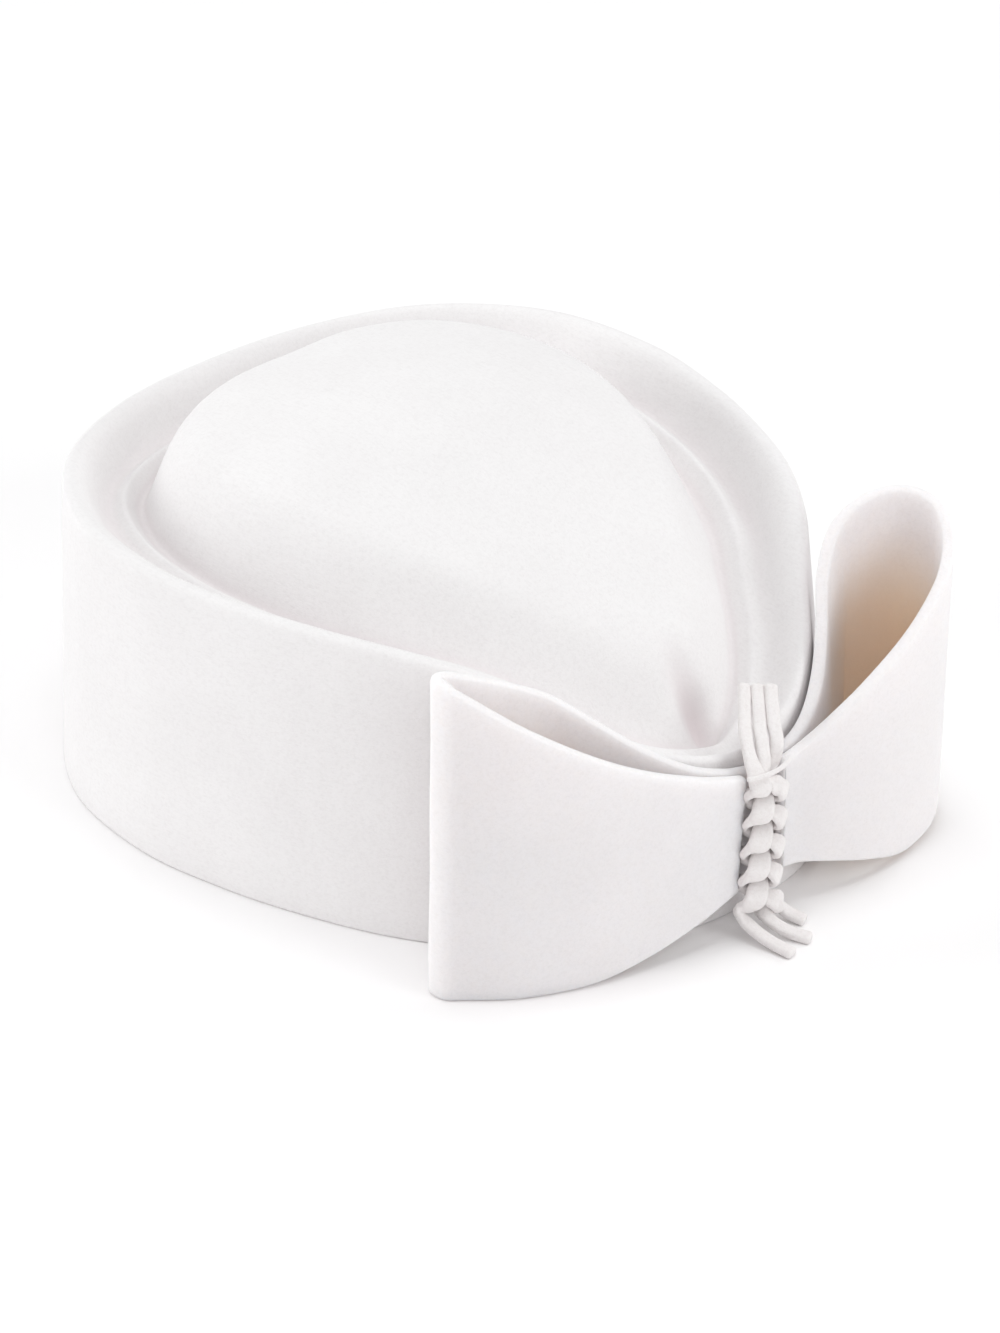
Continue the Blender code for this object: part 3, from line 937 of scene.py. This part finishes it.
    def build(self) -> Piece:
        """Makes the body's skin and gives it its felt.

        Returns:
            The dressed piece.
        """
        one = self.rays(np.array([0.0]))
        middle = one.reach[:1, None]
        peak = np.array([0.0, self.crown_along, self.top(one, middle)[0, 0]]) + self.shift
        hollow = np.array([0.0, self.crown_along, self.under(one, middle)[0, 0]]) + self.shift
        piece = loft("hat_felt", self.rings() + self.shift, peak, hollow)
        for amount, size in self.waves:
            unevenness(piece, amount, size)
        self.paint_fold_shade(piece)
        piece.data.materials.append(self.finish.material())
        return piece

    def paint_fold_shade(self, piece: Piece) -> None:
        """Finds how deep in the channel, the valley and the pit each point of the skin lies, for the
        shade painted there.

        Args:
            piece: The body's skin.
        """
        mesh = piece.data
        places, normals = skin_points(mesh)
        upper = self.dome_rings + self.fold_rings
        count = upper * self.turns
        skin = places[:count].reshape(upper, self.turns, 3)
        facing = normals[:count].reshape(upper, self.turns, 3)
        number = np.arange(upper)
        around = [skin[np.clip(number + step, 0, upper - 1)] for step in self.look_around]
        hollow = np.sum((np.mean(around, axis=0) - skin) * facing, axis=2)
        own = skin - self.shift
        pressed = self.pit(own[:, :, 0], own[:, :, 1]) / self.dimple_depth
        # painted shade: concave folds and the pit get the warm, darker tint
        folds = ease(hollow, 0.0, self.fold_shade_depth) * self.fold_shade_strength
        depth = np.zeros(len(places))
        depth[:count] = np.maximum(folds, pressed).ravel()
        keep_painted_shade(mesh, depth)

    def wall_limit(self, across: float, height: float, margin: float) -> float:
        """Rearmost place that still clears the front half of the wall by a margin.

        Args:
            across: Place across the hat.
            height: Height above the floor.
            margin: Least distance from the wall.

        Returns:
            The place along the hat.
        """
        rays = self.rays(np.linspace(0.45 * math.pi, math.pi, 120))
        share = np.minimum(height / rays.level[:, 0], 1.0)
        points = rays.base + rays.inward * (rays.lean * share)[:, None]
        along = np.gradient(points, axis=0)
        outward = unit(np.column_stack([-along[:, 1], along[:, 0]]))
        outward = outward * np.sign(np.sum(outward * points, axis=1))[:, None]
        moved = points + outward * margin
        order = np.argsort(moved[:, 0])
        return float(np.interp(abs(across), moved[order, 0], moved[order, 1], right=1.0))


@dataclass
class BowBand:
    """One felt band folded into an open loop of the bow."""

    hat: HatBody
    name: str
    node: str
    side: int
    rows: tuple[BandRow, ...]
    finish: Finish
    reach: float = 0.0780
    height: float = 0.0820
    depth: float = 0.0250
    clearance: float = 0.0005
    finely: int = 10
    down: int = 26
    edge_share: float = 0.32
    edge_points: int = 6
    wave: tuple[float, float] = (0.00030, 0.024)
    heart_step: int = 3
    turned_in: float = 0.6
    # the next two set the painted shade inside the loop
    loop_shade_span: tuple[float, float] = (0.05, 0.42)
    loop_shade_strength: float = 0.8

    @property
    def edges(self) -> tuple[Array, Array]:
        """Middle lines of the felt at its top and its bottom edge."""
        return self.line(("out", "ahead", "top")), self.line(("low_out", "ahead", "low"))

    def line(self, columns: tuple[str, str, str]) -> Array:
        """Middle line of the band's felt at one edge.

        Args:
            columns: Names of the values that say how far out, how far ahead, how high.

        Returns:
            One point per row.
        """
        rows = np.array([[getattr(row, key) for key in columns] for row in self.rows])
        fine = through(rows, np.linspace(0, len(rows) - 1, self.finely * len(rows)))
        points = []
        for out, ahead, level in fine:
            across, height = self.side * out * self.reach, max(level, 0.0) * self.height
            limit = self.hat.wall_limit(across, height, self.clearance + self.hat.felt * 0.5)
            points.append([across, min(self.hat.front_line - ahead * self.depth, limit), height])
        return np.array(points)

    def across_felt(self, line: Array) -> Array:
        """Half a felt thickness square to a line, level with the floor.

        Args:
            line: Middle line of the felt.

        Returns:
            One step per point of the line.
        """
        along = np.gradient(line[:, :2], axis=0)
        normal = np.column_stack([-along[:, 1], along[:, 0], along[:, 0] * 0])
        return unit(normal) * self.hat.felt / 2

    def build(self) -> Piece:
        """Makes the band's skin and gives it its felt.

        Returns:
            The dressed piece.
        """
        top, low = self.edges
        top_side, low_side = self.across_felt(top), self.across_felt(low)
        edge = np.array([0.0, 0.0, self.hat.felt * self.edge_share])
        shares = np.linspace(0, 1, self.down)[:, None]
        turns = np.linspace(0, math.pi, self.edge_points + 2)[1:-1, None]
        swing, rise = np.cos(turns), rounded(np.sin(turns)) * edge
        rings = []
        for upper, lower, over, below in zip(top - edge, low + edge, top_side, low_side):
            down = upper + (lower - upper) * shares
            lean = over + (below - over) * shares
            above, beneath = upper - over * swing + rise, lower + below * swing - rise
            rings.append(np.concatenate([above, down + lean, beneath, (down - lean)[::-1]]))
        rings = np.roll(np.array(rings), len(rings[0]) // 4, axis=1)
        piece = loft(self.name, rings + self.hat.shift, None, None)
        self.paint_loop_shade(piece)
        unevenness(piece, *self.wave)
        piece.data.materials.append(self.finish.material())
        return piece

    def declare(self, piece: Piece, lies_on: Piece) -> None:
        """Works out the band's edges and does nothing more with them.

        Args:
            piece: The band's skin. Not used.
            lies_on: The piece that the band lies against. Not used.
        """
        top, low = self.edges

    def paint_loop_shade(self, piece: Piece) -> None:
        """Stores how deep inside the folded loop each point of the skin lies, for the shade painted
        there.

        Args:
            piece: The band's skin.
        """
        mesh = piece.data
        places, normals = skin_points(mesh)
        places = places - self.hat.shift
        top, low = self.edges
        middle = (top + low) / 2
        heart = np.array([middle[:, 0].mean(), middle[:, 1].mean()])
        thin = slice(None, None, self.heart_step)
        apart = places[:, None, :2] - middle[None, thin, :2]
        near = np.argmin((apart**2).sum(axis=2), axis=1)
        below = top[thin, 2][near] - places[:, 2]
        towards = np.sum((heart - places[:, :2]) * normals[:, :2], axis=1)
        inside = ease(towards / self.hat.felt, 0.0, self.turned_in)
        # painted shade: darker and warmer deeper inside the loop, below its top edge
        keep_painted_shade(mesh, ease(below / self.height, *self.loop_shade_span) * inside * self.loop_shade_strength)


@dataclass
class Plait:
    """Three felt strands plaited down the middle of the bow.

    top and low are shares of the bow's height, pitch and spread are in strand widths.
    widen and deepen open the foot of the plait, each from its share of the way down.
    """

    hat: HatBody
    bow_height: float = 0.0820
    clearance: float = 0.0005
    width: float = 0.0034
    thickness: float = 0.0020
    fan: float = 0.0180
    aside: float = -0.0039
    swing: float = 1.30
    depth: float = 1.30
    roll: float = 0.8
    full: float = 1.24
    swell: float = 0.30
    slim: float = 0.94
    slant: float = -0.0020
    slant_turn: float = 1.3
    top: float = 0.482
    low: float = 0.070
    pitch: float = 6.5
    spread: float = 1.15
    stations: int = 24
    widen: float = 0.40
    widen_from: float = 0.886
    deepen: float = 0.30
    deepen_from: float = 0.93
    squareness: float = 0.08
    lift: float = 0.55
    coarse: int = 50
    loose_rows: float = 5.5
    soften: int = 6
    steps: int = 260
    around: int = 20
    wave: tuple[float, float] = (0.00018, 0.0030)
    binding_steps: int = 60
    binding_around: int = 10
    binding_ahead: float = 0.0010
    finish: Finish = STRAND_FELT

    @property
    def line(self) -> float:
        """Middle of the plait, in front of the bow's back panels."""
        return self.hat.front_line - self.clearance * 3 - self.hat.felt - self.thickness * 1.85

    @property
    def crest(self) -> float:
        """Level where the strands go over the rim."""
        return max(self.hat.crest, self.top * self.bow_height + self.width * 0.8)

    def path(self, number: int) -> tuple[Array, Array, Array]:
        """Way of one strand: cut end inside the rim, over the edge, plait, fanned end.

        Args:
            number: 0, 1 or 2.

        Returns:
            Points, the direction that the strip faces at each, and how full it is there.
        """
        top, low = self.top * self.bow_height, self.low * self.bow_height
        turns = max(round(2 * (top - low) / (self.pitch * self.width)) / 2, 0.5)
        lane = round(math.sin(2 * math.pi * number / 3) / THIRD_SINE)
        beside = lane * self.width * self.spread
        points, faces, full = [], [], []
        for row in CREST:
            across = beside * row.side + row.across * self.fan
            along = self.line + row.back * self.fan + beside * row.rear
            points.append([across, along, self.crest + row.rise * self.fan])
            faces.append(LYING)
            full.append([self.slim])
        for share in np.linspace(0, 1, self.stations + 1):
            phase = 2 * math.pi * (turns * share + number / 3)
            widen = 1 + self.widen * float(ease(share, self.widen_from, 1.0))
            deepen = 1 + self.deepen * float(ease(share, self.deepen_from, 1.0))
            swing = math.sin(phase) + self.squareness * math.sin(3 * phase)
            across = self.width * self.swing * widen * swing + self.slant * share**self.slant_turn
            along = self.line - self.thickness * self.depth * deepen * math.sin(2 * phase)
            points.append([across, along, top + (low - top) * share])
            roll = self.roll * math.cos(phase)
            faces.append([math.sin(roll), -math.cos(roll), 0.0])
            full.append([self.full * (1 + self.swell * math.sin(2 * phase))])
        lane = round(math.sin(2 * math.pi * (turns + number / 3)) / THIRD_SINE)
        for row in (row for row in ENDS if row.lane == lane):
            rise = self.thickness * self.lift + row.rise * self.fan
            across, along = row.across * self.fan + self.slant, self.line - row.ahead * self.fan
            points.append([across, along, rise])
            faces.append(LYING)
            full.append([1.0])
        points = np.array(points) + np.array([self.aside, 0.0, 0.0])
        last = len(points) - 1
        coarse = np.linspace(0, last, self.coarse)
        path = through(points, coarse)
        start = int(self.coarse * (last + 1 - self.loose_rows) / last)
        for _ in range(self.soften):
            middle = (path[:-2] + 2 * path[1:-1] + path[2:]) / 4
            path[start:-1] = middle[start - 1:]
        fine = np.linspace(0, self.coarse - 1, self.steps)
        path = through(path, fine) + self.hat.shift
        faces = through(through(faces, coarse), fine)
        return path, faces, through(full, fine / (self.coarse - 1) * last)

    def strand(self, name: str, number: int) -> Piece:
        """Makes one strand of the plait.

        Args:
            name: Name of the piece.
            number: 0, 1 or 2.

        Returns:
            The dressed piece.
        """
        path, faces, full = self.path(number)
        return strip(name, path, faces, self.width * full, self.thickness * 1.08, self.around)

    def build(self) -> list[Piece]:
        """Makes the three strands and gives them their felt.

        Returns:
            The dressed pieces.
        """
        felt = self.finish.material()
        made = [self.strand(f"plait_strand_{number + 1}", number) for number in range(3)]
        for piece in made:
            unevenness(piece, *self.wave, 0.0)
            piece.data.materials.append(felt)
        return made

    def binding(self) -> Piece:
        """Makes the thin strand across the top of the plait and gives it its felt.

        Returns:
            The dressed piece.
        """
        count = self.binding_steps
        shares = np.linspace(-1, 1, count)
        across = self.aside + self.width * 2.1 * shares
        along = self.line - self.thickness * 0.9 * (1 - shares**2) - self.binding_ahead
        level = np.full(count, self.crest + self.thickness * 0.3)
        path = np.column_stack([across, along, level]) + self.hat.shift
        faces = np.tile([0.0, -1.0, 0.3], (count, 1))
        wide = np.full((count, 1), self.width * 0.35)
        piece = strip("plait_binding", path, faces, wide, self.thickness * 0.4, self.binding_around)
        piece.data.materials.append(self.finish.material())
        return piece


def strip(name: str, path: Array, faces: Array, width: Array, thickness: float, around: int) -> Piece:
    """Soft-edged strip of felt along a path, with rounded cut ends.

    Args:
        name: Name of the piece.
        path: Points along its middle.
        faces: Direction that it faces at each point.
        width: Across, one row for each point of the path.
        thickness: Through.
        around: Points in each section.

    Returns:
        The piece, not yet dressed.
    """
    tangents = unit(np.gradient(path, axis=0))
    facing = unit(faces - tangents * np.sum(faces * tangents, axis=1)[:, None])
    across = np.cross(tangents, facing)
    turns = (np.arange(around) + 0.5) * 2 * math.pi / around
    wide, deep = rounded(np.cos(turns)) * width / 2, rounded(np.sin(turns)) * thickness / 2
    length = np.linalg.norm(np.diff(path, axis=0), axis=1)
    gone = np.concatenate([[0], np.cumsum(length)])
    end = np.clip(np.minimum(gone, gone[-1] - gone) / (thickness * END_ROUND), 0, 1)
    size = END_SIZE + (1 - END_SIZE) * np.sqrt(1 - (1 - end) ** 2)
    section = across[:, None, :] * wide[:, :, None] + facing[:, None, :] * deep[None, :, None]
    rings = path[:, None, :] + section * size[:, None, None]
    return loft(name, rings, path[0], path[-1])


@dataclass
class Studio:
    """Camera at the photograph's angle, pale floor and soft light."""

    hat: HatBody
    place: Triple = (-0.74201, -0.79668, 0.65194)
    right: Triple = (0.7262, -0.6874, -0.0049)
    up: Triple = (0.3457, 0.3591, 0.8669)
    ahead: Triple = (0.5942, 0.6313, -0.4984)
    film: float = 36.0
    focal: float = 5161.25 / 1333 * 36
    nearest: float = 0.05
    floor_size: float = 8.0
    floor_colour: Triple = (0.98, 0.965, 0.967)
    floor_roughness: float = 0.9
    floor_shine: float = 0.1
    lamp_size: float = 1.3
    aim: Triple = (0.0, 0.0, 0.04)
    sky: float = 0.485
    sky_tint: Triple = (1.0, 0.982, 0.985)
    lamp_tint: Triple = (0.960, 1.0, 1.0)

    def camera(self) -> None:
        """Puts the camera where the photograph was taken from."""
        data = bpy.data.cameras.new("camera")
        data.sensor_fit = "VERTICAL"
        data.sensor_height = self.film
        data.lens = self.focal
        data.clip_start = self.nearest
        made = placed("camera", data)
        turn = Matrix((self.right, self.up, [-value for value in self.ahead])).transposed()
        spot = Vector(self.place) + Vector(self.hat.shift)
        made.matrix_world = Matrix.Translation(spot) @ turn.to_4x4()
        bpy.context.scene.camera = made

    def floor(self) -> None:
        """Makes the pale floor."""
        half = self.floor_size / 2
        mesh = bpy.data.meshes.new("floor")
        corners = [(-half, -half, 0), (half, -half, 0), (half, half, 0), (-half, half, 0)]
        mesh.from_pydata(corners, [], [(0, 1, 2, 3)])
        paper = bpy.data.materials.new("pale_floor")
        paper.use_nodes = True
        shader = paper.node_tree.nodes["Principled BSDF"]
        shader.inputs["Base Color"].default_value = (*self.floor_colour, 1.0)
        shader.inputs["Roughness"].default_value = self.floor_roughness
        shader.inputs["Specular IOR Level"].default_value = self.floor_shine
        mesh.materials.append(paper)
        made = placed("floor", mesh)

    def light(self) -> None:
        """Sets up the lamps and the even light all round."""
        world = bpy.data.worlds.new("studio")
        world.use_nodes = True
        shader = world.node_tree.nodes["Background"]
        shader.inputs["Color"].default_value = (*self.sky_tint, 1.0)
        shader.inputs["Strength"].default_value = self.sky
        bpy.context.scene.world = world
        for name, place, power in LAMPS:
            data = bpy.data.lights.new(name, "AREA")
            data.shape = "DISK"
            data.size = self.lamp_size
            data.energy = power
            data.color = self.lamp_tint
            made = placed(name, data)
            made.location = place
            beam = Vector(self.aim) - Vector(place)
            made.rotation_euler = beam.to_track_quat("-Z", "Y").to_euler()
        bpy.context.scene.view_settings.view_transform = "Standard"


def dress(piece: Piece, node: str) -> None:
    """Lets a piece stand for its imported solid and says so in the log.

    Args:
        piece: The piece.
        node: The solid.
    """
    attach(piece, "root")
    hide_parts(node)
    LOG.info("%s stands for %s, %d faces", piece.name, node, len(piece.data.polygons))


def main() -> None:
    """Builds the studio and every piece of the hat, in order."""
    hat = HatBody()
    studio = Studio(hat)
    studio.camera()
    studio.floor()
    studio.light()
    body = hat.build()
    dress(body, "hat_body")
    left = BowBand(hat, "bow_left_felt", "bow_left_loop", -1, LEFT_BAND, BOW_FELT)
    right = BowBand(hat, "bow_right_felt", "bow_right_loop", 1, RIGHT_BAND, BOW_FELT)
    for band in (left, right):
        piece = band.build()
        dress(piece, band.node)
        band.declare(piece, body)
    plait = Plait(hat)
    for number, piece in enumerate(plait.build()):
        dress(piece, f"braid_strand_{number + 1}")
    dress(plait.binding(), "bow_binding_strand")


if __name__ == "__main__":
    logging.basicConfig(level=logging.INFO, format="%(message)s")
    main()
